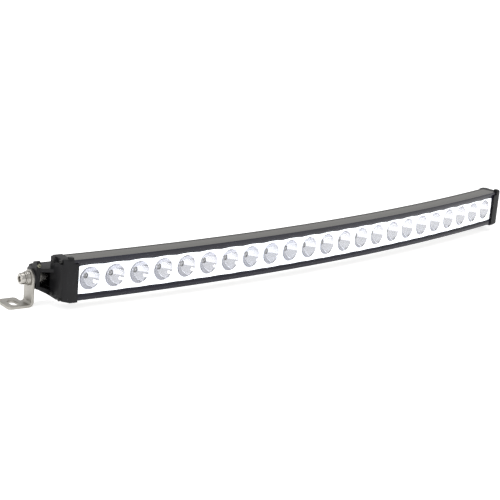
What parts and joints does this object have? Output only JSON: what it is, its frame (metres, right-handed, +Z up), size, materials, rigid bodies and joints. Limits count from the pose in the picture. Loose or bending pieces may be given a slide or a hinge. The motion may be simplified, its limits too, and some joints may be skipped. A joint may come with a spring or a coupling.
{
  "type": "led light bar",
  "caption": "Curved single-row LED light bar with a black finned housing, chrome reflector cups in a glowing white panel, and a swivelling stainless bracket at each end.",
  "frame": {"origin": "under the middle of the bar, at the centre of its box, on the surface that the two feet are bolted to", "axes": "+X along the bar to its right as seen from behind the lamps, -Y the way the light goes, +Z up"},
  "size_m": [1.1032, 0.116, 0.0767],
  "materials": {
    "housing": "black anodised extrusion, satin",
    "frame": "black, semi-gloss",
    "lens": "clear hard-coated polycarbonate sheet",
    "halo": "white light-guide panel, glowing",
    "reflector": "vacuum-metallised mirror finish",
    "emitter": "white ceramic package with a clear dome",
    "board": "dark solder mask on an aluminium core",
    "connector": "ivory moulded plastic",
    "thermal": "soft grey silicone sheet",
    "gasket": "black silicone rubber",
    "driver": "green circuit board",
    "coil": "grey ferrite",
    "capacitor": "sleeved electrolytic can",
    "chip": "black epoxy",
    "cap": "black powder coat on a die casting, satin",
    "steel": "stainless steel, bead-blasted",
    "bolt": "stainless steel, turned",
    "dark_screw": "black-oxide steel",
    "zinc_screw": "olive zinc-plated steel",
    "isolator": "black nylon",
    "gland": "black nylon",
    "lead": "black silicone-sleeved lead",
    "vent": "black plug with a membrane"
  },
  "bodies": {
    "bar": {"board_jumpers": "connector", "board_screws": "bolt", "breather_vent": "vent", "cable_gland": "gland", "driver_board": "driver", "driver_capacitors": "capacitor", "driver_coils": "coil", "driver_transistors": "chip", "front_frame": "frame", "front_lens": "lens", "gland_locknut": "gland", "gland_nose": "gland", "halo_panel": "halo", "housing": "housing", "inner_lead": "lead", "led_board_centre": "board", "led_board_left": "board", "led_board_right": "board", "led_emitters": "emitter", "left_cap_gasket": "gasket", "left_cap_screws": "dark_screw", "left_dome_nut": "bolt", "left_ear_screw": "zinc_screw", "left_end_cap": "cap", "left_inner_washer": "steel", "left_isolator": "isolator", "left_outer_washer": "steel", "left_pivot_bolt": "bolt", "left_spring_washer": "steel", "lens_gasket": "gasket", "reflector_cups": "reflector", "right_cap_gasket": "gasket", "right_cap_screws": "dark_screw", "right_dome_nut": "bolt", "right_ear_screw": "zinc_screw", "right_end_cap": "cap", "right_inner_washer": "steel", "right_isolator": "isolator", "right_outer_washer": "steel", "right_pivot_bolt": "bolt", "right_spring_washer": "steel", "thermal_pad": "thermal"},
    "left_bracket": {"left_bracket": "steel"},
    "right_bracket": {"right_bracket": "steel"}
  },
  "joints": [
    {"name": "left_bracket_swivel", "type": "hinge", "parent": "bar", "child": "left_bracket", "pos_m": [-0.51489, 0.02621, 0.0393], "axis": [0.9894, -0.1451, 0], "continuous": true},
    {"name": "right_bracket_swivel", "type": "hinge", "parent": "bar", "child": "right_bracket", "pos_m": [0.51489, 0.02621, 0.0393], "axis": [0.9894, 0.1451, 0], "continuous": true}
  ]
}
